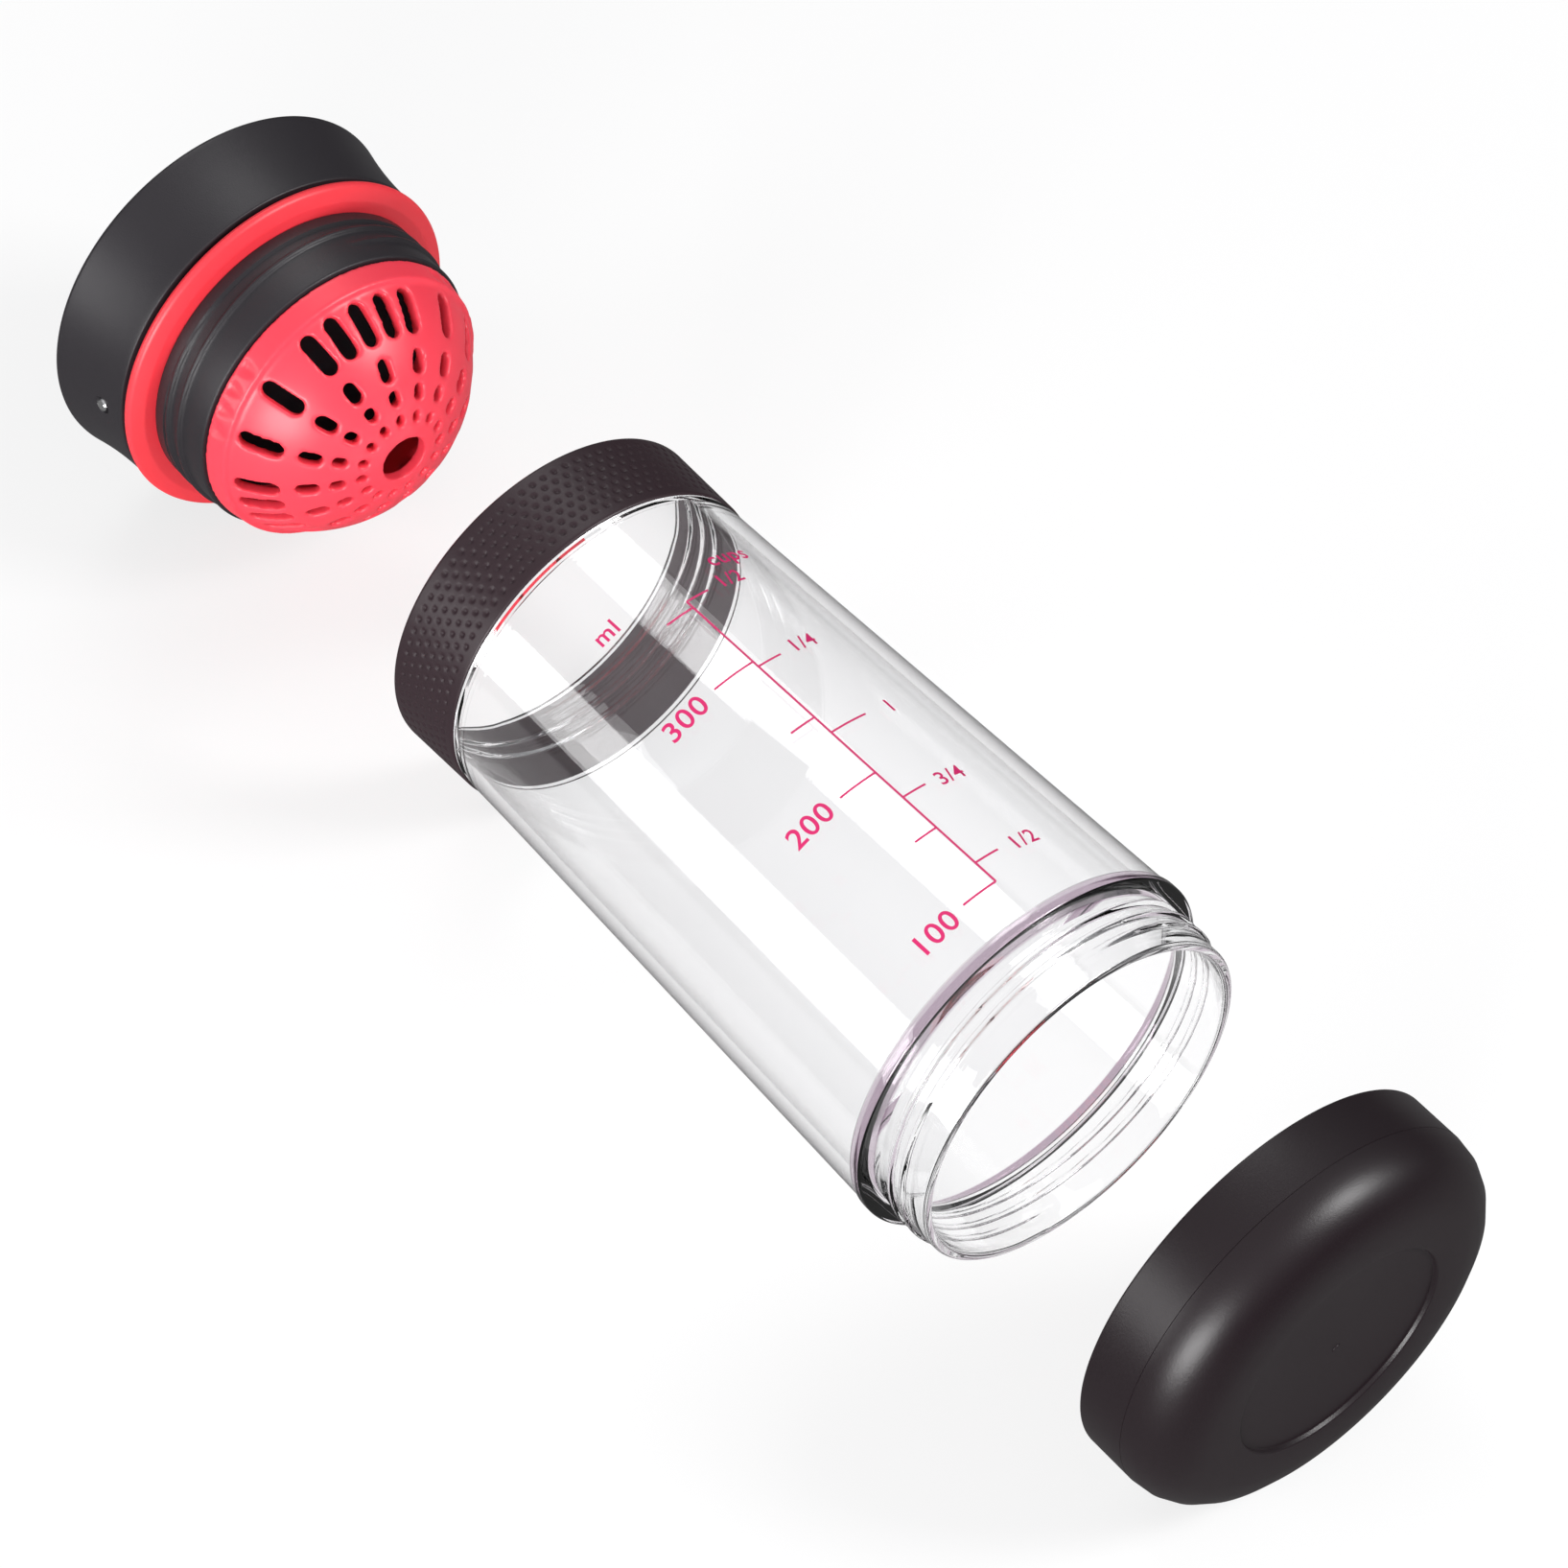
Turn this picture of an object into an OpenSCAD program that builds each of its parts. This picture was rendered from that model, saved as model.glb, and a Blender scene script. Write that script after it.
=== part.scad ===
// Salad dressing shaker bottle, lying on its side with the lid and the base cup unscrewed and
// drawn away along the bottle's axis. Every piece is drawn upright round +Z, with the open lower
// end of the bottle at z = 0, and laid() then turns the whole set down along +X.

/* [Bottle] */
// Height of the clear tube from its open lower rim to its mouth
bottle_h = 142; // [120:1:200]
// Radius of the body just above the flange
body_r_low = 36.1; // [35:0.1:37]
// Radius of the body at the shoulder under the grip sleeve
body_r_high = 32.9; // [32.5:0.1:34]
// Wall of the body
body_wall = 2.4; // [1.6:0.1:2.6]
// Height of the flange's lower face above the open lower rim
flange_z = 12.8; // [11:0.1:16]
// Radius of the flange
flange_r = 36.5; // [36.2:0.1:40]
// Thickness of the flange
flange_t = 2.2; // [1.4:0.1:4]
// Outer radius of the threaded foot under the flange
foot_r = 33.3; // [32:0.1:34]
// Wall of the threaded foot
foot_wall = 1.8; // [1.2:0.1:2.4]
// Bore of the neck
neck_bore_r = 30.5; // [29.5:0.1:31]
// Outer radius of the neck under the grip sleeve
neck_r = 32.3; // [31.8:0.1:32.6]

/* [Grip sleeve] */
// Height of the grip sleeve
sleeve_h = 16.4; // [12:0.1:22]
// Outer radius of the sleeve at its lower edge
sleeve_r_low = 33.2; // [33:0.1:35]
// Outer radius of the sleeve at its upper edge
sleeve_r_high = 33.6; // [33:0.1:35]
// Clear rim of the neck that shows above the sleeve
neck_rim_h = 0.5; // [0.3:0.1:2]

/* [Lid] */
// Height of the lid shell
shell_h = 18; // [16:0.5:24]
// Inner radius of the shell
shell_bore_r = 33; // [32.6:0.1:33.4]
// Wall of the shell at its lower edge
shell_wall_low = 1.8; // [1.6:0.1:4]
// Wall of the shell at its top, where it flares
shell_wall_top = 4; // [3.6:0.1:6]
// Thickness of the collar's flange inside the shell
collar_flange_t = 2.1; // [1.5:0.1:2.6]
// Depth that the collar's flange hangs below the shell's lower edge
collar_drop = 1.1; // [0.6:0.1:1.6]
// Length of the collar below the seal ring
collar_l = 13.4; // [13:0.1:16]
// Inner radius of the collar
collar_bore_r = 27; // [26:0.1:27.4]
// Height of the plain band between the seal ring and the thread
collar_band_h = 2.4; // [1.5:0.1:3]
// Thickness of the pour deck
deck_t = 1.6; // [1.2:0.1:2.4]

/* [Seals] */
// Thickness of the lid's seal ring
seal_t = 2.75; // [2:0.05:4]
// Outer radius of the seal ring's lip
seal_r = 35.2; // [34:0.1:36]
// Thickness of the base seal
base_seal_t = 1.9; // [1.2:0.1:3]
// Clearance between a seal and the faces it lies between
seal_gap = 0.05; // [0.02:0.01:0.2]

/* [Pour lever] */
// Distance of the hinge pin behind the lid's axis
pin_back = 7.3; // [4:0.1:9]
// Height of the hinge pin above the shell's lower edge
pin_z = 5.7; // [5.6:0.1:6.2]
// Radius of the hinge pin
pin_r = 1.2; // [1:0.05:1.3]
// Running clearance of the lever on its pin
pin_gap = 0.05; // [0.02:0.01:0.1]
// Thickness of the lever's plate
lever_t = 3; // [2.4:0.1:3.2]
// Depth of the lever's top below the shell's rim
lever_drop = 0.6; // [0.4:0.1:1]
// Distance from the lid's axis to the spout's axis
spout_x = 20.5; // [16:0.1:21]
// Bore of the spout
spout_bore_r = 5.2; // [4:0.1:5.4]
// Wall of the spout
spout_wall = 1.6; // [1.2:0.1:1.8]
// Turn of the spout from the top of the bottle as it lies
lid_turn = 14.4; // [0:0.1:60]

/* [Strainer] */
// Radius of the dome
dome_r = 30.5; // [30:0.1:31]
// Wall of the dome
dome_wall = 2.4; // [1.8:0.1:2.8]
// Height of the rim band between the collar and the dome
band_h = 4.8; // [4:0.1:6]
// Outer radius of the band next to the collar
band_r = 28.9; // [28:0.1:29.2]
// Length of the spigot that pushes into the collar
spigot_l = 6.5; // [4:0.1:8]
// Wall of the spigot
spigot_wall = 2.2; // [1.6:0.1:2.6]
// Clearance of the spigot in the collar
spigot_gap = 0.1; // [0.05:0.01:0.2]
// Radius of the hole at the tip of the dome
tip_hole_r = 4.6; // [3:0.1:5]
// Number of slots in each of the three inner rings
ring_slots = 15; // [9:3:18]
// Number of finger pads round the band
pads = 3; // [2:1:3]
// Depth of a finger groove
groove_depth = 0.5; // [0.2:0.1:0.8]

/* [Base cup] */
// Wall of the base cup outside its thread
base_wall = 2.95; // [2.65:0.05:5.6]
// Height of the base cup
base_h = 19.6; // [19:0.1:26]
// Radius of the cup's lower edge
base_edge_r = 9.8; // [5:0.1:10]
// Radius of the round recess in the cup's underside
recess_r = 20.8; // [12:0.1:24]
// Depth of the recess
recess_d = 0.8; // [0.4:0.1:1.2]
// Distance of the parting line below the cup's rim
parting_z = 9.6; // [6:0.1:9.8]
// Clearance between the cup's rim and the flange
rim_gap = 0.2; // [0.1:0.05:0.5]

/* [Threads] */
// Rise of the lid thread in one turn
lid_lead = 6.8; // [6:0.2:8]
// Rise of the base thread in one turn
base_lead = 5.6; // [5.4:0.2:7]
// Height of a thread ridge
ridge_h = 0.75; // [0.6:0.05:0.8]
// Clearance between a ridge's crest and the wall it runs along
ridge_gap = 0.3; // [0.25:0.05:0.4]

/* [Drawn apart] */
// Distance that the lid stands off its closed place
lid_apart = 75.5; // [70:0.5:100]
// Distance that the base cup stands off its closed place
base_apart = 54.4; // [50:0.1:90]

/* [Hidden] */
$fn = 96;

clear_tint = "lightcyan";
plum = "#46373e";
charcoal = "#3b383d";
red = "#e03a48";
eps = 0.01;

// Bottle
sleeve_top = bottle_h - neck_rim_h;
sleeve_low = sleeve_top - sleeve_h;
flange_top = flange_z + flange_t;
rim_round = 0.4;

// Threads, both with the same number of starts
starts = 2;
thread_step = 7.5;
ridge_root = 1.15;
ridge_crest = 0.6;
ridge_sink = 0.4;
ridge_fade = 20;
lid_pitch = lid_lead / starts;
base_pitch = base_lead / starts;

// Lid, measured from the lower edge of its shell
shell_r_low = shell_bore_r + shell_wall_low;
shell_r_top = shell_bore_r + shell_wall_top;
seal_low = -collar_drop - seal_t - 2 * seal_gap;
collar_low = seal_low - collar_l;
collar_r = neck_bore_r - ridge_gap - ridge_h;
collar_band_r = neck_bore_r - ridge_gap - 0.1;
flange_face_r = shell_bore_r - seal_gap;
deck_low = collar_flange_t - collar_drop + seal_gap;
deck_top = deck_low + deck_t;
lid_thread_top = seal_low - collar_band_h;
lid_thread_low = lid_thread_top - 5.9;
lid_thread_zero = lid_thread_top + lid_lead * 29.6 / 360;
lever_top = shell_h - lever_drop;
lever_low = lever_top - lever_t;
lever_r = shell_bore_r - 0.4;
lever_tail = 3.6;
ear_y = 23;
ear_t = 2.6;
ear_r = pin_z - deck_top - 0.4;
spout_top = lever_low - 1.2;
plug_r = spout_bore_r + spout_wall - 0.2;
plug_nose = 1.6;
pin_seat_r = 1.75;

// Strainer, measured from the lower edge of the lid's shell
band_top = collar_low - 0.15;
band_low = band_top - band_h;
spigot_r = collar_bore_r - spigot_gap;
dome_step = 1;
dome_edge_r = band_r - 0.8 - dome_step;
dome_z = band_low + sqrt(dome_r * dome_r - dome_edge_r * dome_edge_r);
dome_tip = dome_z - dome_r;
dome_in_r = dome_r - dome_wall;
strainer_turn = 4.1;

// Base cup, measured from its rim
cup_bore_r = foot_r + ridge_h + ridge_gap;
base_r = cup_bore_r + base_wall;
cup_seat = -(flange_z - rim_gap) - base_seal_t - 2 * seal_gap;
cup_floor = -base_h + recess_d + 1.8;
cup_well_r = foot_r - foot_wall - 3;
cup_thread_low = -(flange_z - rim_gap) + 2.2;

// Places of the moving groups along the bottle, closed and drawn apart
lid_seat = bottle_h - seal_low + seal_gap;
lid_place = lid_seat + lid_apart;
base_place = flange_z - rim_gap - base_apart;
foot_thread_low = 4.2;
foot_thread_top = flange_z - 1.9;
foot_thread_zero = foot_thread_low - base_lead * 2.1 / 360;
neck_thread_low = bottle_h - 12;
neck_thread_top = bottle_h - 2.6;

// Height of the axis over the table, and the shift that centres the set on the origin
axis_z = max(base_r, shell_r_top, flange_r);
shift_x = (lid_place + shell_h + base_place - base_h) / 2;

module laid() {
    translate([shift_x, 0, axis_z])
        rotate([0, -90, 0])
            children();
}

// Radius of the shell's flared outside at a height above its lower edge
function shell_r(z) = shell_r_low + (shell_r_top - shell_r_low) * pow(z / shell_h, 2);

// One corner of a ridge's cross-section, at a share of the ridge's full height
function ridge_point(wall_r, side, share, corner, a, z) =
    let (
        root = wall_r - side * ridge_sink,
        crest = wall_r + side * (-0.15 + (ridge_h + 0.15) * share),
        r = (corner == 0 || corner == 3) ? root : crest,
        half = ((corner == 0 || corner == 3) ? ridge_root : ridge_crest) / 2,
        up = corner < 2 ? -half : half
    )
    [r * cos(a), r * sin(a), z + up];

// Helical ridges on a round wall: side is 1 outside a wall and -1 inside one, and the first
// helix passes through z_zero at the angle 0
module thread(wall_r, side, low, top, z_zero, lead) {
    turn = (top - low) * 360 / lead;
    n = ceil(turn / thread_step);
    for (k = [0 : starts - 1])
        let (
            a0 = (low - z_zero) * 360 / lead,
            ring = [for (i = [0 : n])
                let (
                    along = turn * i / n,
                    share = min(1, along / ridge_fade, (turn - along) / ridge_fade)
                )
                for (c = [0 : 3])
                    ridge_point(wall_r, side, share, c, a0 + along, low + lead * along / 360)],
            sides = [for (i = [0 : n - 1], c = [0 : 3], half = [0, 1])
                let (p = 4 * i + c, q = 4 * i + (c + 1) % 4)
                half == 0 ? [p, p + 4, q] : [q, p + 4, q + 4]],
            ends = [[0, 1, 2], [0, 2, 3], [4 * n, 4 * n + 2, 4 * n + 1], [4 * n, 4 * n + 3, 4 * n + 2]],
            faces = concat(sides, ends)
        )
        rotate([0, 0, 360 * k / starts])
            polyhedron(ring, side < 0 ? faces : [for (f = faces) [f[0], f[2], f[1]]], convexity = 8);
}

module ring_between(r_in, r_out, low, top) {
    translate([0, 0, low])
        difference() {
            cylinder(r = r_out, h = top - low);
            translate([0, 0, -eps])
                cylinder(r = r_in, h = top - low + 2 * eps);
        }
}

module bottle_profile() {
    body_in_high = body_r_high - body_wall;
    polygon([
        [foot_r - foot_wall + rim_round / 2, 0],
        [foot_r - rim_round, 0],
        [foot_r, rim_round],
        [foot_r, flange_z],
        [flange_r - rim_round / 2, flange_z],
        [flange_r, flange_z + rim_round / 2],
        [flange_r, flange_top - rim_round],
        [flange_r - rim_round, flange_top],
        [body_r_low, flange_top + rim_round],
        [body_r_high, sleeve_low - 5],
        [body_r_high, sleeve_low - 1.8],
        [body_r_high - 0.3, sleeve_low - 1.4],
        [body_r_high - 0.3, sleeve_low - 0.9],
        [body_r_high, sleeve_low - 0.5],
        [body_r_high, sleeve_low],
        [neck_r, sleeve_low],
        [neck_r, bottle_h - rim_round],
        [neck_r - rim_round, bottle_h],
        [neck_bore_r + rim_round, bottle_h],
        [neck_bore_r, bottle_h - rim_round],
        [neck_bore_r, sleeve_low],
        [body_in_high, sleeve_low - 5],
        [body_r_low - body_wall, flange_top],
        [foot_r - foot_wall, flange_z - 0.8],
        [foot_r - foot_wall, rim_round]
    ]);
}

module bottle_body() {
    neck_zero = lid_place + lid_thread_zero + lid_pitch / 2;
    color(clear_tint, 0.4)
        laid()
            union() {
                rotate_extrude()
                    bottle_profile();
                thread(foot_r, 1, foot_thread_low, foot_thread_top, foot_thread_zero, base_lead);
                thread(neck_bore_r, -1, neck_thread_low, neck_thread_top, neck_zero, lid_lead);
            }
}

module grip_sleeve() {
    in_r = neck_r + seal_gap;
    low = sleeve_low + seal_gap;
    edge = 0.5;
    color(plum)
        laid()
            rotate_extrude()
                polygon([
                    [in_r, low],
                    [sleeve_r_low - edge, low],
                    [sleeve_r_low, low + edge],
                    [sleeve_r_high, sleeve_top - edge],
                    [sleeve_r_high - edge, sleeve_top],
                    [in_r, sleeve_top]
                ]);
}

// Places a piece of the lid, drawn from the shell's lower edge with the spout towards +X
module on_lid() {
    laid()
        translate([0, 0, lid_place])
            rotate([0, 0, lid_turn])
                children();
}

module pin_hole(r, half) {
    translate([-pin_back, half, pin_z])
        rotate([90, 0, 0])
            cylinder(r = r, h = 2 * half);
}

module shell_profile() {
    steps = 10;
    edge = 1.2;
    polygon(concat(
        [[shell_bore_r, 0], [shell_r_low - 0.5, 0]],
        [for (i = [0 : steps]) let (z = 0.5 + (shell_h - edge - 0.5) * i / steps) [shell_r(z), z]],
        [
            [shell_r_top - 0.35 * edge, shell_h - 0.35 * edge],
            [shell_r_top - edge, shell_h],
            [shell_bore_r + 1.8, shell_h],
            [shell_bore_r, shell_h - 1.4]
        ]
    ));
}

module lid_shell() {
    seat = sqrt(pow(shell_r(pin_z), 2) - pin_back * pin_back) - 0.6;
    color(charcoal)
        on_lid()
            difference() {
                rotate_extrude()
                    shell_profile();
                pin_hole(pin_r + 0.02, shell_r_top + 1);
                for (side = [-1, 1])
                    translate([-pin_back, side * (seat + 2), pin_z])
                        rotate([90, 0, 0])
                            cylinder(r = pin_seat_r, h = 4, center = true);
            }
}

module threaded_collar() {
    color(charcoal)
        on_lid()
            rotate([0, 0, -lid_turn])
                union() {
                    rotate_extrude()
                        polygon([
                            [collar_bore_r, collar_low + 0.4],
                            [collar_bore_r + 0.4, collar_low],
                            [collar_r - 0.3, collar_low],
                            [collar_r, collar_low + 0.3],
                            [collar_r, lid_thread_top - 0.3],
                            [collar_band_r, lid_thread_top],
                            [collar_band_r, seal_low - 0.2],
                            [collar_band_r - 0.2, seal_low],
                            [collar_r, seal_low],
                            [collar_r, -collar_drop],
                            [flange_face_r, -collar_drop],
                            [flange_face_r, collar_flange_t - collar_drop],
                            [collar_bore_r, collar_flange_t - collar_drop]
                        ]);
                    thread(collar_r, 1, lid_thread_low, lid_thread_top, lid_thread_zero, lid_lead);
                }
}

module seal_ring() {
    in_r = collar_r + ridge_gap;
    top = -collar_drop - seal_gap;
    low = seal_low + seal_gap;
    lip = 0.7;
    color(red)
        on_lid()
            rotate_extrude()
                union() {
                    polygon([
                        [in_r, low],
                        [neck_r, low],
                        [seal_r - lip, top - 2 * lip],
                        [seal_r - lip, top],
                        [in_r, top]
                    ]);
                    translate([seal_r - lip, top - lip])
                        circle(r = lip);
                }
}

module pour_deck() {
    out_r = spout_bore_r + spout_wall;
    lip_r = out_r + 1.5;
    color(charcoal)
        on_lid()
            difference() {
                union() {
                    translate([0, 0, deck_low])
                        cylinder(r = flange_face_r, h = deck_t);
                    translate([spout_x, 0, deck_low])
                        cylinder(r = out_r, h = spout_top - deck_low);
                    intersection() {
                        translate([spout_x, 0, spout_top - 4])
                            cylinder(r1 = out_r - 0.2, r2 = lip_r, h = 4);
                        translate([spout_x, -lip_r, spout_top - 4])
                            cube([2 * lip_r, 2 * lip_r, 4]);
                    }
                }
                translate([spout_x, 0, deck_low - 1])
                    cylinder(r = spout_bore_r, h = spout_top - deck_low + 2);
            }
}

module hinge_pin() {
    half = sqrt(pow(shell_r(pin_z), 2) - pin_back * pin_back) + 0.25;
    round_off = 0.3;
    color("silver")
        on_lid()
            translate([-pin_back, half, pin_z])
                rotate([90, 0, 0])
                    rotate_extrude()
                        polygon([
                            [0, 0],
                            [pin_r - round_off, 0],
                            [pin_r, round_off],
                            [pin_r, 2 * half - round_off],
                            [pin_r - round_off, 2 * half],
                            [0, 2 * half]
                        ]);
}

module pour_lever() {
    dish_r = 34;
    color(charcoal)
        on_lid()
            difference() {
                union() {
                    intersection() {
                        translate([0, 0, lever_low])
                            cylinder(r = lever_r, h = lever_t);
                        translate([lever_tail, 0, lever_low - 1])
                            cylinder(r = lever_r, h = lever_t + 2);
                    }
                    for (side = [-1, 1])
                        translate([0, side * ear_y, 0]) {
                            translate([-pin_back - ear_r, -ear_t / 2, pin_z])
                                cube([2 * ear_r, ear_t, lever_low - pin_z + eps]);
                            translate([-pin_back, ear_t / 2, pin_z])
                                rotate([90, 0, 0])
                                    cylinder(r = ear_r, h = ear_t);
                        }
                }
                translate([-19, 0, lever_top + dish_r - 1.3])
                    sphere(r = dish_r);
                pin_hole(pin_r + pin_gap, ear_y + ear_t);
            }
}

module spout_plug() {
    pad = lever_low - spout_top - 2 * seal_gap;
    color(red)
        on_lid()
            translate([spout_x, 0, spout_top + seal_gap])
                rotate_extrude()
                    polygon([
                        [0, -plug_nose],
                        [spout_bore_r - 1.3, -plug_nose],
                        [spout_bore_r - 0.7, 0],
                        [plug_r, 0],
                        [plug_r, pad],
                        [0, pad]
                    ]);
}

// A slot through the dome: down is its angle from the tip, and its ends are round
module slot(round_at, down, length, width) {
    translate([0, 0, dome_z])
        rotate([0, 0, round_at])
            rotate([0, 180 - down, 0])
                translate([0, 0, dome_in_r - 3])
                    linear_extrude(height = dome_wall + 6)
                        union() {
                            square([length - width, width], center = true);
                            for (end = [-1, 1])
                                translate([end * (length - width) / 2, 0])
                                    circle(d = width, $fn = 32);
                        }
}

module slots() {
    step = 360 / ring_slots;
    for (i = [0 : ring_slots - 1]) {
        slot(i * step, 35.5, 4.6, 2.5);
        slot(i * step, 25.2, 3.1, 2.1);
        slot(i * step, 16.6, 2.3, 1.6);
        slot(i * step, 53, 8.6, 3.1);
        // Three out of five outer slots have a neighbour at half a step
        if (i % 5 < 1 || i % 5 > 3)
            slot((i + 0.5) * step, 53, 8.6, 3.1);
    }
}

module finger_grooves() {
    groove_r = 2.4;
    for (p = [0 : pads - 1], g = [-1.5 : 1 : 1.5])
        rotate([0, 0, (p + 0.5) * 360 / pads + g * 9])
            translate([band_r - 0.4 + groove_r - groove_depth, 0, band_low + 0.5])
                cylinder(r = groove_r, h = band_h - 1.3);
}

module strainer() {
    color(red)
        on_lid()
            rotate([0, 0, strainer_turn - lid_turn])
                difference() {
                    union() {
                        translate([0, 0, band_top - eps])
                            cylinder(r = spigot_r, h = spigot_l);
                        translate([0, 0, band_low])
                            cylinder(r1 = band_r - 0.8, r2 = band_r, h = band_h);
                        intersection() {
                            translate([0, 0, dome_z])
                                sphere(r = dome_r);
                            translate([0, 0, dome_tip - 1])
                                cylinder(r = band_r, h = band_low - dome_tip + 1 + eps);
                        }
                    }
                    intersection() {
                        translate([0, 0, dome_z])
                            sphere(r = dome_in_r);
                        translate([0, 0, dome_tip - 1])
                            cylinder(r = band_r, h = band_low - dome_tip + 1 + eps);
                    }
                    translate([0, 0, band_low])
                        cylinder(r = spigot_r - spigot_wall, h = band_h + spigot_l + 1);
                    translate([0, 0, dome_tip - 1])
                        cylinder(r = tip_hole_r, h = dome_wall + 5);
                    slots();
                    finger_grooves();
                }
}

module on_base() {
    laid()
        translate([0, 0, base_place])
            children();
}

module base_cup_profile() {
    difference() {
        union() {
            polygon([
                [0, 0],
                [base_r - rim_round, 0],
                [base_r, -rim_round],
                [base_r, -parting_z],
                [base_r - 0.08, -parting_z - 0.08],
                [base_r - 0.08, base_edge_r - base_h],
                [0, base_edge_r - base_h]
            ]);
            translate([0, -base_h])
                square([base_r - base_edge_r, base_edge_r + 1]);
            intersection() {
                translate([base_r - base_edge_r, base_edge_r - base_h])
                    circle(r = base_edge_r - 0.08);
                translate([0, -base_h - 1])
                    square([base_r + 1, base_edge_r + 1 + eps]);
            }
        }
        translate([0, cup_seat])
            square([cup_bore_r, 2 - cup_seat]);
        translate([0, cup_floor])
            square([cup_well_r, 2 - cup_floor]);
        translate([0, -base_h - 1])
            polygon([
                [0, 0],
                [recess_r + 0.3, 0],
                [recess_r + 0.3, 1],
                [recess_r, 1 + recess_d],
                [0, 1 + recess_d]
            ]);
    }
}

module base_cup() {
    base_zero = foot_thread_zero - base_place + base_pitch / 2;
    color(plum)
        on_base()
            union() {
                rotate_extrude()
                    base_cup_profile();
                thread(cup_bore_r, -1, cup_thread_low, -1.6, base_zero, base_lead);
            }
}

module base_seal() {
    low = cup_seat + seal_gap;
    color(red)
        on_base()
            ring_between(cup_well_r + 0.3, cup_bore_r - ridge_gap, low, low + base_seal_t);
}

bottle_body();
grip_sleeve();
lid_shell();
threaded_collar();
seal_ring();
pour_deck();
hinge_pin();
pour_lever();
spout_plug();
strainer();
base_cup();
base_seal();
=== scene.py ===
import math

import bmesh
import bpy
from mathutils import Matrix, Vector


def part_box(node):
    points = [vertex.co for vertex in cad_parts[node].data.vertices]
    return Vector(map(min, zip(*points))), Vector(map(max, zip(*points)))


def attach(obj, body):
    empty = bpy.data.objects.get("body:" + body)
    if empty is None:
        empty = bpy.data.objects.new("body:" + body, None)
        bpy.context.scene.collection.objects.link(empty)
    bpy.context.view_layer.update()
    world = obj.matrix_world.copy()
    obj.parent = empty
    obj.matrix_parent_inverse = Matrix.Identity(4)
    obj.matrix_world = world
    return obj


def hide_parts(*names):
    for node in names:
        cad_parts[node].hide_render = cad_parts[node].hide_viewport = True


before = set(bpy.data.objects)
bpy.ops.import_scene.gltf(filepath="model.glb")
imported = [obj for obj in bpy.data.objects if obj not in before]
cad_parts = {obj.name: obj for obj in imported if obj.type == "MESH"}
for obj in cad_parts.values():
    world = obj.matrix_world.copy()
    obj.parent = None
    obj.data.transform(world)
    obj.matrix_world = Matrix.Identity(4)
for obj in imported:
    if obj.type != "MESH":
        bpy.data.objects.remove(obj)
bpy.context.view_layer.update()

# The surface and the light
# To the camera the table top is evenly white. Through the bottle, in reflections and to bounced light
# it shows a painted pool of light round the bottle that fades to dim grey further out, and mirror rays
# see it dimmer still, a painted darker reflection. The studio is dim. Soft boxes hang behind, over the
# lid and in front, and a small one stands low beside the base cup.
mm = 0.001
scene = bpy.context.scene
scene.view_settings.view_transform = "Standard"


class Wire:
    """A number, colour or vector on its way between shader nodes."""

    def __init__(self, tree, socket=None):
        self.tree, self.socket = tree, socket

    def node(self, kind, settings=None, inputs=None, out=0):
        made = self.tree.nodes.new(kind)
        for name, value in (settings or {}).items():
            if name == "stops":
                while len(made.color_ramp.elements) < len(value):
                    made.color_ramp.elements.new(1)
                for element, (place, colour) in zip(made.color_ramp.elements, value):
                    element.position, element.color = place, colour
            else:
                setattr(made, name, value)
        for name, value in (inputs or {}).items():
            if isinstance(value, Wire):
                self.tree.links.new(value.socket, made.inputs[name])
            else:
                made.inputs[name].default_value = value
        return Wire(self.tree, made.outputs[out] if made.outputs else None)

    def math(self, operation, a, b=0.0):
        return self.node("ShaderNodeMath", {"operation": operation}, {0: a, 1: b})

    def __add__(self, other):
        return self.math("ADD", self, other)

    def __sub__(self, other):
        return self.math("SUBTRACT", self, other)

    def __rsub__(self, other):
        return self.math("SUBTRACT", other, self)

    def __mul__(self, other):
        return self.math("MULTIPLY", self, other)

    __radd__, __rmul__ = __add__, __mul__


def finish(name, **sockets):
    """A material with one Principled shader. Returns it, its shader and a loose wire."""
    material = bpy.data.materials.new(name)
    material.use_nodes = True
    shader = material.node_tree.nodes["Principled BSDF"]
    for socket, value in sockets.items():
        shader.inputs[socket.replace("_", " ")].default_value = value
    return material, shader, Wire(material.node_tree)


def feed(shader, socket, wire):
    wire.tree.links.new(wire.socket, shader.inputs[socket])


floor_mesh = bpy.data.meshes.new("table_top")
bm = bmesh.new()
bmesh.ops.create_grid(bm, x_segments=1, y_segments=1, size=3)
bm.to_mesh(floor_mesh)
bm.free()
floor = bpy.data.objects.new("table_top", floor_mesh)
scene.collection.objects.link(floor)

paper = bpy.data.materials.new("white_paper")
paper.use_nodes = True
wires = Wire(paper.node_tree)
paper.node_tree.nodes.clear()
ray = wires.node("ShaderNodeLightPath")
seen = [Wire(paper.node_tree, ray.socket.node.outputs[name])
        for name in ("Is Camera Ray", "Is Glossy Ray", "Is Transmission Ray")]
white = wires.node("ShaderNodeEmission", inputs={"Color": (1, 1, 1, 1), "Strength": 1.0})
matt = wires.node("ShaderNodeBsdfDiffuse", inputs={"Color": (0.86, 0.86, 0.86, 1)})
any_ray = wires.math("MAXIMUM", wires.math("MAXIMUM", seen[0], seen[1]), seen[2])
white_share = 0.72
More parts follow.
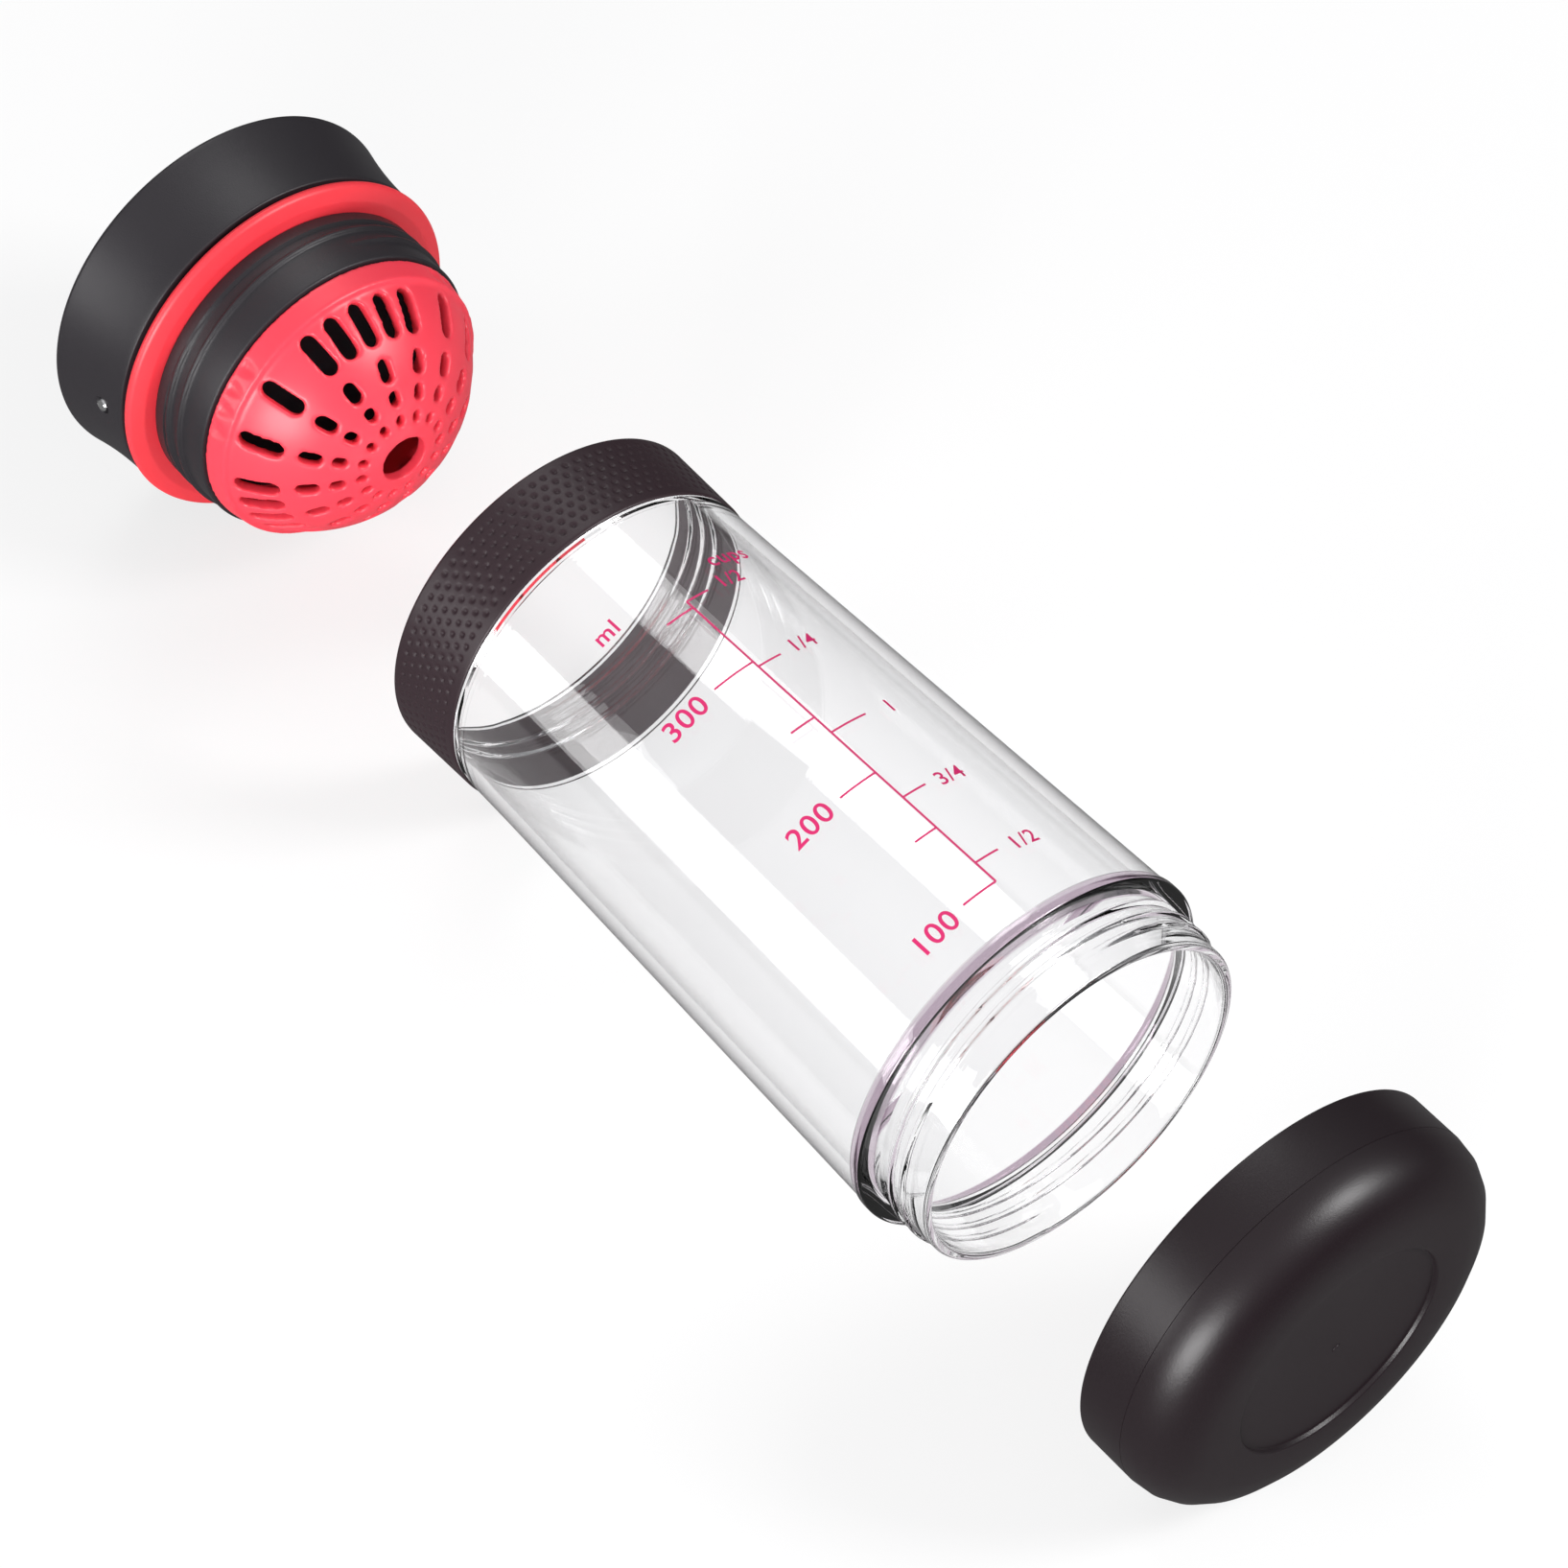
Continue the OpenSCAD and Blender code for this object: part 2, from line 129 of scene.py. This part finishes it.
# Rays other than camera rays see the table as a painted pool of light, full out to 0.30 m and a tenth
# beyond 0.42 m.
painted_pool_radius, painted_fade_radius, painted_dim_share = 0.30, 0.42, 0.10
painted_reflection_dim = 0.8
from_middle = wires.node("ShaderNodeVectorMath", {"operation": "LENGTH"},
                         {0: wires.node("ShaderNodeTexCoord", out=3)}, out=1)
painted_pool = wires.node("ShaderNodeMapRange", inputs={0: from_middle, 1: painted_pool_radius, 2: painted_fade_radius,
                                                3: 1.0, 4: painted_dim_share})
# Mirror rays see that pool dimmed to a fifth, a painted darker reflection.
mirrored = seen[1] * (1.0 - seen[2])
painted_floor_glow = wires.math("MAXIMUM", seen[0], painted_pool * (1.0 - mirrored * painted_reflection_dim))
mixed = wires.node("ShaderNodeMixShader", inputs={0: any_ray * white_share, 1: matt, 2: white})
shade = wires.node("ShaderNodeMixShader", inputs={0: painted_floor_glow, 2: mixed})
wires.node("ShaderNodeOutputMaterial", inputs={"Surface": shade})
floor_mesh.materials.append(paper)

world = bpy.data.worlds.new("studio")
scene.world = world
world.use_nodes = True
sky = Wire(world.node_tree)
world.node_tree.nodes.clear()
up_share = sky.node("ShaderNodeSeparateXYZ", inputs={0: sky.node("ShaderNodeTexCoord")}, out=2)
level = sky.node("ShaderNodeValToRGB", {"stops": [
    (0.0, (0.10, 0.10, 0.11, 1)), (0.35, (0.22, 0.22, 0.23, 1)), (0.8, (0.62, 0.62, 0.63, 1))]},
    {0: up_share})
glow = sky.node("ShaderNodeBackground", inputs={"Color": level, "Strength": 0.85})
sky.node("ShaderNodeOutputWorld", inputs={"Surface": glow})


def soft_box(name, place, target, size, watts):
    lamp = bpy.data.lights.new(name, "AREA")
    lamp.shape, lamp.size, lamp.size_y, lamp.energy = "RECTANGLE", size[0], size[1], watts
    hung = bpy.data.objects.new(name, lamp)
    scene.collection.objects.link(hung)
    hung.location = place
    hung.rotation_mode = "QUATERNION"
    hung.rotation_quaternion = (Vector(target) - Vector(place)).to_track_quat("-Z", "Y")


soft_box("soft_box_back", (0.70, 0.55, 0.75), (0.1, 0, 0), (0.35, 0.4), 9)
soft_box("soft_box_front", (-0.35, -0.9, 0.30), (-0.1, 0, 0), (0.6, 0.5), 4)
soft_box("soft_box_low", (0.62, -0.85, 0.22), (0.12, 0, 0.03), (0.5, 0.4), 12)
soft_box("soft_box_lid", (-0.7, 0.3, 0.9), (-0.1, 0, 0), (0.5, 0.5), 2)

# The camera
# It looks down from behind the base cup's right, 51.3 degrees above the table, and holds the
# horizon level.
axis_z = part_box("base_cup")[1][2] / 2
focal_px = 5500
frame_px = 1635
flange_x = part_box("bottle_body")[1][0] - 15 * mm
camera = bpy.data.objects.new("camera", bpy.data.cameras.new("camera"))
scene.collection.objects.link(camera)
scene.camera = camera
camera.data.sensor_width = 36
camera.data.lens = 36 * focal_px / frame_px
camera.data.clip_start = 0.05
right = Vector((0.6352, 0.7724, 0))
away = Vector((-0.4828, 0.3971, -0.7806))
across = right.normalized()
back = -away.normalized()
upward = back.cross(across)
place = Vector((flange_x, 0, axis_z)) + Vector((366.9, -351.9, 701.8)) * mm
camera.matrix_world = Matrix.Translation(place) @ Matrix((across, upward, back)).transposed().to_4x4()

# Bottle body
# A clear copolyester tube, moulded in one piece. It tapers towards the neck, and has a flange,
# a threaded foot under it, and a thread inside its mouth.
foot_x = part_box("bottle_body")[1][0]


def turned(name, outline, base_x, rounds=(), steps=192, soft_angle=30):
    """An outline of (height, radius) points in mm, its corners rounded, spun round the axis."""
    bm = bmesh.new()
    points = [bm.verts.new((base_x - h * mm, 0, axis_z + r * mm)) for h, r in outline]
    bm.faces.new(points)
    for number, radius in rounds:
        bmesh.ops.bevel(bm, geom=[points[number]], offset=radius * mm, segments=5, profile=0.5,
                        affect="VERTICES", material=-1)
    bmesh.ops.delete(bm, geom=bm.faces[:], context="FACES_ONLY")
    bmesh.ops.spin(bm, geom=bm.verts[:] + bm.edges[:], cent=(0, 0, axis_z), axis=(1, 0, 0),
                   angle=2 * math.pi, steps=steps, use_merge=True)
    bmesh.ops.remove_doubles(bm, verts=bm.verts, dist=1e-7)
    bmesh.ops.recalc_face_normals(bm, faces=bm.faces)
    for edge in bm.edges:
        edge.smooth = len(edge.link_faces) < 2 or edge.calc_face_angle(0) < math.radians(soft_angle)
    return made(name, bm)


def made(name, bm):
    """A finished mesh as an object at the origin, with smooth faces."""
    for face in bm.faces:
        face.smooth = True
    mesh = bpy.data.meshes.new(name)
    bm.to_mesh(mesh)
    bm.free()
    piece = bpy.data.objects.new(name, mesh)
    scene.collection.objects.link(piece)
    return piece


def polar(vertex, base_x):
    """Height in mm over base_x, radius in mm and angle from the top, of one vertex."""
    y, z = vertex.co.y, vertex.co.z - axis_z
    return (base_x - vertex.co.x) / mm, math.hypot(y, z) / mm, math.atan2(y, z)


def set_radius(vertex, radius, angle):
    vertex.co.y = radius * mm * math.sin(angle)
    vertex.co.z = axis_z + radius * mm * math.cos(angle)


def ridge(height, angle, zero, lead, low, top, root=1.3, crest=0.5):
    """Share, from 0 to 1, of a two-start thread's full ridge at a place on its wall."""
    pitch = lead / 2
    off = (height - zero - lead * angle / (2 * math.pi) + pitch / 2) % pitch - pitch / 2
    along = height - off
    fade = lead * 24 / 360
    ends = min(1.0, (along - low) / fade, (top - along) / fade)
    slope = (root / 2 - abs(off)) / ((root - crest) / 2)
    return max(0.0, min(1.0, slope)) * max(0.0, ends)


def cut_thread(piece, wall, side, base_x, zero, lead, low, top, ridge_h=0.75):
    """Raises a thread on the wall of a turned piece: side is 1 outside and -1 inside."""
    for vertex in piece.data.vertices:
        height, radius, angle = polar(vertex, base_x)
        if abs(radius - wall) < 0.05 and low - 1 < height < top + 1:
            share = ridge(height, angle, zero, lead, low, top)
            if share:
                set_radius(vertex, wall + side * ridge_h * share, angle)


def rows(low, top, radius, step=0.2):
    """Evenly spaced points up a straight wall, for a thread or a pattern to be raised on."""
    count = round(abs(top - low) / step)
    return [(low + (top - low) * i / count, radius) for i in range(count + 1)]


foot_r, foot_bore_r = 33.3, 31.5
flange_low, flange_top, flange_r = 12.8, 15.0, 36.5
body_r_low, body_r_high = 36.1, 32.9
neck_r, neck_bore_r = 32.3, 30.5
bottle_h, sleeve_low = 142.0, 125.1
shoulder = sleeve_low - 5
foot_rows = rows(3.6, 11.6, foot_r)
neck_rows = rows(bottle_h - 2.0, bottle_h - 12.8, neck_bore_r)
outline = (
    [(0, foot_bore_r), (0, foot_r)] + foot_rows
    + [(flange_low, foot_r), (flange_low, flange_r), (flange_top, flange_r),
       (flange_top + 0.4, body_r_low), (shoulder, body_r_high), (sleeve_low - 1.8, body_r_high),
       (sleeve_low - 1.4, body_r_high - 0.3), (sleeve_low - 0.9, body_r_high - 0.3),
       (sleeve_low - 0.5, body_r_high), (sleeve_low, body_r_high), (sleeve_low, neck_r),
       (bottle_h, neck_r), (bottle_h, neck_bore_r)] + neck_rows
    + [(sleeve_low, neck_bore_r), (shoulder, body_r_high - 2.4), (flange_top, body_r_low - 2.4),
       (flange_low - 0.8, foot_bore_r)])
flange_at = 2 + len(foot_rows)
bottle = turned("clear_bottle", outline, foot_x, [(0, 0.6), (1, 0.6), (flange_at + 1, 0.5),
                (flange_at + 2, 0.6), (flange_at + 4, 6.0), (flange_at + 11, 0.4),
                (flange_at + 12, 0.4)])
foot_zero, foot_lead = 4.167, 5.6
neck_zero, neck_lead = 217.409, 6.8
cut_thread(bottle, foot_r, 1, foot_x, foot_zero, foot_lead, 4.2, 10.9)
cut_thread(bottle, neck_bore_r, -1, foot_x, neck_zero, neck_lead, bottle_h - 12, bottle_h - 2.6)

clear, shader, wires = finish("clear_copolyester", Roughness=0.015, IOR=1.52, Transmission_Weight=1.0)
place = wires.node("ShaderNodeTexCoord", out=3)
height = foot_x - wires.node("ShaderNodeSeparateXYZ", inputs={0: place})
tint = wires.node("ShaderNodeValToRGB", {"stops": [
    (0.0, (0.985, 0.985, 0.99, 1)), (0.47, (0.985, 0.985, 0.99, 1)),
    (0.48, (0.50, 0.40, 0.48, 1)), (0.555, (0.50, 0.40, 0.48, 1)),
    (0.565, (0.985, 0.985, 0.99, 1))]}, {0: height * (1 / (27 * mm))})
# Towards grazing view the tube turns grey: partly the wall's own tint seen through more plastic, partly
# painted shade for the dark surroundings that its edges refract.
slant = wires.node("ShaderNodeLayerWeight", inputs={"Blend": 0.5}, out=1)
edge = wires.node("ShaderNodeValToRGB", {"stops": [
    (0.0, (1, 1, 1, 1)), (0.70, (0.98, 0.98, 0.98, 1)), (0.84, (0.50, 0.49, 0.50, 1)),
    (0.96, (0.20, 0.19, 0.20, 1))]}, {0: slant})
feed(shader, "Base Color", wires.node("ShaderNodeMix", {"data_type": "RGBA", "blend_type": "MULTIPLY"},
                                      {0: 1.0, 6: tint, 7: edge}, out=2))
bottle.data.materials.append(clear)
bottle.visible_shadow = bottle.visible_diffuse = False
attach(bottle, "bottle")
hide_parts("bottle_body")

# Printed scale
# One colour of ink, screen printed on the outside of the tube: millilitre marks on the left of
# the line and cup marks on its right, read with the bottle upright.
print_lift = 0.04
line_w = 0.42
line_angle = 0.5
body_slope = (body_r_high - body_r_low) / (shoulder - flange_top - 0.4)


def wrap(bm):
    """Lays a flat drawing (across and up, in mm, from the flange and the line) on the tube."""
    for vertex in bm.verts:
        across, height, lift = vertex.co
        radius = body_r_low + body_slope * (height - 0.4) + print_lift + lift
        angle = math.radians(line_angle) + across / radius
        vertex.co = (foot_x - (flange_top + height) * mm, radius * mm * math.sin(angle),
                     axis_z + radius * mm * math.cos(angle))


def stroke(bm, across, height, width, tall):
    """One printed bar, with enough steps to follow the tube's curve."""
    made = bmesh.ops.create_grid(bm, x_segments=max(1, round(width)), y_segments=max(1, round(tall / 4)),
                                 size=0.5)
    bmesh.ops.scale(bm, verts=made["verts"], vec=(width, tall, 1))
    bmesh.ops.translate(bm, verts=made["verts"], vec=(across, height, 0))


def figures(bm, text, across, height, size):
    """Plain figures, centred on a place of the flat drawing."""
    curve = bpy.data.curves.new(text, "FONT")
    curve.body, curve.size, curve.align_x, curve.align_y = text, size, "CENTER", "CENTER"
    curve.offset = 0.012 * size
    curve.space_character = 1.08
    drawn = bpy.data.objects.new(text, curve)
    scene.collection.objects.link(drawn)
    bpy.context.view_layer.update()
    mesh = bpy.data.meshes.new_from_object(drawn.evaluated_get(bpy.context.evaluated_depsgraph_get()))
    bpy.data.objects.remove(drawn)
    bpy.data.curves.remove(curve)
    letters = bmesh.new()
    letters.from_mesh(mesh)
    bmesh.ops.translate(letters, verts=letters.verts, vec=(across, height, 0))
    letters.to_mesh(mesh)
    letters.free()
    bm.from_mesh(mesh)
    bpy.data.meshes.remove(mesh)


bm = bmesh.new()
line_low, line_top = 8.2, 86.9
stroke(bm, 0, (line_low + line_top) / 2, line_w, line_top - line_low)
left_marks = [(8.2, 6.9), (22.8, 4.5), (38.0, 7.5), (53.5, 5.0), (69.4, 8.3), (85.2, 5.6)]
right_marks = [(13.2, 4.8), (31.1, 4.8), (49.2, 7.4), (68.0, 4.8), (86.9, 4.6)]
for mark, long in left_marks:
    stroke(bm, -long / 2, mark, long, line_w)
for mark, long in right_marks:
    stroke(bm, long / 2, mark, long, line_w)
for text, across, mark, size in (
        ("100", -13.4, 7.6, 5.6), ("200", -14.2, 37.8, 5.6), ("300", -15.2, 68.9, 5.6),
        ("1/2", 10.0, 12.8, 4.2), ("3/4", 9.8, 30.6, 4.2), ("1", 12.6, 48.9, 4.2),
        ("1/4", 9.9, 68.4, 4.2), ("1/2", 9.7, 87.4, 4.2),
        ("ml", -13.6, 91.8, 4.6), ("cups", 13.6, 92.6, 4.6)):
    figures(bm, text, across, mark, size)
print_half_w = 22
for across in range(-print_half_w, print_half_w + 1):
    bmesh.ops.bisect_plane(bm, geom=bm.verts[:] + bm.edges[:] + bm.faces[:], plane_co=(across, 0, 0),
                           plane_no=(1, 0, 0))
wrap(bm)
scale_print = made("scale_print", bm)
ink, shader, wires = finish("magenta_ink", Base_Color=(0.60, 0.012, 0.13, 1), Roughness=0.45)
scale_print.data.materials.append(ink)
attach(scale_print, "bottle")

# Grip sleeve
# A dark ring pushed over the neck, moulded in satin plastic with rows of small dimples that
# leave a plain margin at both edges.
sleeve_h, sleeve_r_low, sleeve_r_high = 16.4, 33.2, 33.6
dimple_rows, dimple_columns = 7, 88
dimple_margin, dimple_r, dimple_depth = 1.6, 0.62, 0.32
sleeve_rows = [(h, sleeve_r_low + (sleeve_r_high - sleeve_r_low) * (h - sleeve_low) / sleeve_h)
               for h, _ in rows(sleeve_low + 0.9, sleeve_low + sleeve_h - 0.9, 0, 0.26)]
outline = ([(sleeve_low + 0.05, neck_r + 0.05), (sleeve_low + 0.05, sleeve_r_low)] + sleeve_rows
           + [(sleeve_low + sleeve_h, sleeve_r_high), (sleeve_low + sleeve_h, neck_r + 0.05)])
sleeve = turned("grip_sleeve_ring", outline, foot_x, [(1, 0.6), (2 + len(sleeve_rows), 0.6)],
                steps=704)
step = (sleeve_h - 2 * dimple_margin) / dimple_rows
for vertex in sleeve.data.vertices:
    height, radius, angle = polar(vertex, foot_x)
    if radius > sleeve_r_low - 0.05:
        row = math.floor((height - sleeve_low - dimple_margin) / step)
        if 0 <= row < dimple_rows:
            v = (height - sleeve_low - dimple_margin) / step - row - 0.5
            column = angle / (2 * math.pi) * dimple_columns + row % 2 / 2
            u = column - math.floor(column) - 0.5
            far = math.hypot(u * 2 * math.pi * radius / dimple_columns, v * step) / dimple_r
            if far < 1:
                set_radius(vertex, radius - dimple_depth * (1 - far * far) ** 1.5, angle)
plum, shader, wires = finish("plum_plastic", Base_Color=(0.026, 0.014, 0.018, 1), Roughness=0.40,
                              Specular_IOR_Level=0.35)
sleeve.data.materials.append(plum)
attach(sleeve, "bottle")
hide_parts("grip_sleeve")

# Lid shell
# The flared dark rim of the lid, injection moulded with a fine spark-eroded texture. It is
# pressed over the collar's flange and carries the hinge pin.
lid_low_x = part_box("lid_shell")[1][0]
shell_h, shell_bore_r, shell_r_low, shell_r_top = 18.0, 33.0, 34.8, 37.0
flare_low, flare_rise, flare_steps = 0.5, 16.3, 24
flare_heights = [flare_low + flare_rise * i / flare_steps for i in range(flare_steps + 1)]
flare = [(h, shell_r_low + (shell_r_top - shell_r_low) * (h / shell_h) ** 2) for h in flare_heights]
outline = ([(0, shell_bore_r), (0, shell_r_low)] + flare[1:]
           + [(shell_h, shell_r_top - 0.1), (shell_h, shell_bore_r + 0.6), (shell_h - 1.4, shell_bore_r)])
shell = turned("flared_shell", outline, lid_low_x, [(1, 0.45), (len(flare) + 1, 1.0)], steps=256)


def grain(wires, scale, depth, fine=2.6):
    """Bump for a spark-eroded texture: two sizes of pits, in object coordinates."""
    place = wires.node("ShaderNodeTexCoord", out=3)
    coarse = wires.node("ShaderNodeTexNoise", inputs={"Vector": place, "Scale": scale, "Detail": 2.0})
    pits = wires.node("ShaderNodeTexNoise", inputs={"Vector": place, "Scale": scale * fine, "Detail": 1.0})
    return wires.node("ShaderNodeBump", inputs={"Height": coarse * 0.6 + pits * 0.4,
                                                "Strength": depth, "Distance": 0.1 * mm})


def cloudy(wires, scale, low, high):
    """A roughness that drifts between two values over the surface."""
    place = wires.node("ShaderNodeTexCoord", out=3)
    cloud = wires.node("ShaderNodeTexNoise", inputs={"Vector": place, "Scale": scale, "Detail": 3.0})
    return cloud * (high - low) + low


def bore(piece, place, direction, radius, length):
    """Cuts a round hole through a piece, with an exact boolean that is applied at once."""
    bm = bmesh.new()
    bmesh.ops.create_cone(bm, cap_ends=True, segments=48, radius1=radius, radius2=radius, depth=length)
    turn = Vector(direction).to_track_quat("Z", "Y").to_matrix().to_4x4()
    bmesh.ops.transform(bm, matrix=Matrix.Translation(place) @ turn, verts=bm.verts)
    drill = made("drill", bm)
    cut = piece.modifiers.new("bore", "BOOLEAN")
    cut.object, cut.operation, cut.solver = drill, "DIFFERENCE", "EXACT"
    bpy.context.view_layer.update()
    mesh = bpy.data.meshes.new_from_object(piece.evaluated_get(bpy.context.evaluated_depsgraph_get()))
    piece.modifiers.remove(cut)
    piece.data = mesh
    bpy.data.objects.remove(drill)


spout_turn = math.radians(14.4)
pin_low, pin_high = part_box("hinge_pin")
pin_centre = (pin_low + pin_high) / 2
pin_along = Vector((0, math.cos(spout_turn), -math.sin(spout_turn)))
pin_half = (pin_high.y - pin_low.y - 2.4 * mm * math.sin(spout_turn)) / 2 / math.cos(spout_turn)
bore(shell, pin_centre, pin_along, 1.24 * mm, 0.09)
for side in (-1, 1):
    bore(shell, pin_centre + pin_along * side * pin_half, pin_along, 1.75 * mm, 1.7 * mm)
charcoal, shader, wires = finish("charcoal_plastic", Base_Color=(0.020, 0.0175, 0.021, 1), Roughness=0.42,
                                  Specular_IOR_Level=0.4)
feed(shader, "Normal", grain(wires, 3200, 0.30))
feed(shader, "Roughness", cloudy(wires, 60, 0.38, 0.48))
shell.data.materials.append(charcoal)
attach(shell, "lid")
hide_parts("lid_shell")

# Threaded collar
# The dark ring that screws into the bottle's mouth, with its two-start thread standing on it.
# A plain band above the thread holds the seal ring, and a plain skirt runs below.
collar_top, seal_low, collar_low = 1.0, -3.95, -17.35
collar_r, band_r, collar_bore_r, collar_flange_r = 29.45, 30.1, 27.0, 32.95
thread_low, thread_top = -12.25, -6.35
collar_rows = rows(thread_low - 0.8, thread_top - 0.35, collar_r)
outline = ([(collar_low, collar_bore_r), (collar_low, collar_r)] + collar_rows
           + [(thread_top, band_r), (seal_low, band_r), (seal_low, collar_r), (-1.1, collar_r),
              (-1.1, collar_flange_r), (collar_top, collar_flange_r), (collar_top, collar_bore_r)])
collar = turned("screw_collar", outline, lid_low_x,
                [(0, 0.5), (1, 0.5), (3 + len(collar_rows), 0.25)], steps=256)
lid_place = (foot_x - lid_low_x) / mm
collar_zero = 215.709 - lid_place
cut_thread(collar, collar_r, 1, lid_low_x, collar_zero, neck_lead, thread_low, thread_top)
collar.data.materials.append(charcoal)
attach(collar, "lid")
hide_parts("threaded_collar")

# Seal ring
# A red silicone ring with a round lip, moulded flat and rolled on to the collar's plain band.
seal_top, seal_bottom, seal_in_r, seal_r, seal_foot_r = -1.15, -3.9, 29.75, 35.2, 32.3
outline = [(seal_bottom, seal_in_r), (seal_bottom, seal_foot_r), (seal_bottom + 1.15, seal_r - 0.1),
           (seal_top - 0.75, seal_r), (seal_top, seal_r - 0.35), (seal_top, seal_in_r)]
seal = turned("lip_seal", outline, lid_low_x, [(1, 0.3), (2, 0.7), (3, 0.5), (4, 0.4)], steps=256)
red_silicone, shader, wires = finish("red_silicone", Base_Color=(0.80, 0.036, 0.052, 1), Roughness=0.4,
                                     Subsurface_Weight=0.08, Subsurface_Scale=0.002)
feed(shader, "Roughness", cloudy(wires, 90, 0.34, 0.46))
feed(shader, "Normal", grain(wires, 2400, 0.08))
seal.data.materials.append(red_silicone)
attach(seal, "lid_carrier")
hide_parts("seal_ring")

# Pour deck, lever and plug
# The deck closes the collar and carries the spout. The lever rocks on the pin, and its red plug
# shuts the spout.
def softened(node, name, width):
    """A copy of a sharp solid with its edges eased by a small bevel."""
    bm = bmesh.new()
    bm.from_mesh(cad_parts[node].data)
    bmesh.ops.remove_doubles(bm, verts=bm.verts, dist=1e-6)
    bmesh.ops.dissolve_limit(bm, angle_limit=math.radians(0.5), verts=bm.verts, edges=bm.edges)
    for edge in bm.edges:
        edge.smooth = len(edge.link_faces) < 2 or edge.calc_face_angle(0) < math.radians(28)
    piece = made(name, bm)
    ease = piece.modifiers.new("ease", "BEVEL")
    ease.width, ease.segments = width * mm, 2
    ease.limit_method, ease.angle_limit = "ANGLE", math.radians(40)
    piece.data.materials.clear()
    return piece


for node, name, body, width in (("pour_deck", "spout_deck", "lid", 0.2),
                                ("pour_lever", "rocker_lever", "lever", 0.3)):
    piece = softened(node, name, width)
    piece.data.materials.append(charcoal)
    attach(piece, body)
    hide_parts(node)
for node in ("spout_plug", "base_seal"):
    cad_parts[node].data.materials.clear()
    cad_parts[node].data.materials.append(red_silicone)

# Hinge pin
# A plain stainless rod with rounded ends, pressed through the shell and the lever's ears.
steel, shader, wires = finish("pin_steel", Base_Color=(0.78, 0.78, 0.79, 1), Roughness=0.22, Metallic=1.0)
feed(shader, "Roughness", cloudy(wires, 900, 0.15, 0.32))
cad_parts["hinge_pin"].data.materials.clear()
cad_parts["hinge_pin"].data.materials.append(steel)

# Strainer
# A red moulded dome with rings of slots, pushed into the collar. The mould leaves every slot's
# edge round, so the mesh is rebuilt in small cells and smoothed.
bm = bmesh.new()
bm.from_mesh(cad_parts["strainer"].data)
bmesh.ops.remove_doubles(bm, verts=bm.verts, dist=1e-6)
dome = made("strainer_dome", bm)
dome.data.materials.clear()
cells = dome.modifiers.new("cells", "REMESH")
cells.mode, cells.voxel_size, cells.use_smooth_shade = "VOXEL", 0.42 * mm, True
ease = dome.modifiers.new("ease", "SMOOTH")
ease.factor, ease.iterations = 0.5, 5
bpy.context.view_layer.update()
dome.data = bpy.data.meshes.new_from_object(dome.evaluated_get(bpy.context.evaluated_depsgraph_get()))
dome.modifiers.clear()
strainer_red, shader, wires = finish("strainer_red", Base_Color=(0.84, 0.045, 0.075, 1), Roughness=0.36,
                                     Subsurface_Weight=0.06, Subsurface_Scale=0.002)
feed(shader, "Roughness", cloudy(wires, 120, 0.32, 0.44))
feed(shader, "Normal", grain(wires, 2600, 0.07))
dome.data.materials.append(strainer_red)
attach(dome, "strainer_insert")
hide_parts("strainer")

# Base cup
# The dark screw cap of the bottle's foot, with a wide round edge, a parting line round it and a
# shallow round recess underneath that has a small gate mark in its centre.
rim_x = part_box("base_cup")[0][0]
base_r, base_h, edge_r, parting = 37.3, 19.6, 9.8, 9.6
recess_r, recess_d = 20.8, 0.8
cup_bore_r, seat, floor_h, well_r = 34.35, 14.6, 17.0, 28.5
cup_rows = rows(-1.0, -11.0, cup_bore_r)
outline = ([(-floor_h, 0), (-floor_h, well_r), (-seat, well_r), (-seat, cup_bore_r)] + cup_rows[::-1]
           + [(0, cup_bore_r), (0, base_r), (-parting + 0.06, base_r), (-parting, base_r - 0.1),
              (-parting - 0.06, base_r - 0.04), (-base_h, base_r - 0.04), (-base_h, recess_r + 0.3),
              (recess_d - base_h, recess_r), (recess_d - base_h, 0.9), (recess_d - base_h - 0.12, 0.8),
              (recess_d - base_h - 0.12, 0)])
at = 4 + len(cup_rows)
cup = turned("screw_cup", outline, rim_x, [(at, 0.3), (at + 1, 0.5), (at + 5, edge_r), (at + 6, 0.25),
                                           (at + 7, 0.2)], steps=256)
cup_zero = 5.567 + 41.8
cut_thread(cup, cup_bore_r, -1, rim_x, cup_zero, foot_lead, -10.4, -1.6)
base_dark, shader, wires = finish("dark_base_plastic", Base_Color=(0.010, 0.0055, 0.0075, 1),
                                  Roughness=0.36, Specular_IOR_Level=0.4)
feed(shader, "Normal", grain(wires, 2600, 0.24))
feed(shader, "Roughness", cloudy(wires, 60, 0.33, 0.42))
cup.data.materials.append(base_dark)
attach(cup, "base")
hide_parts("base_cup")
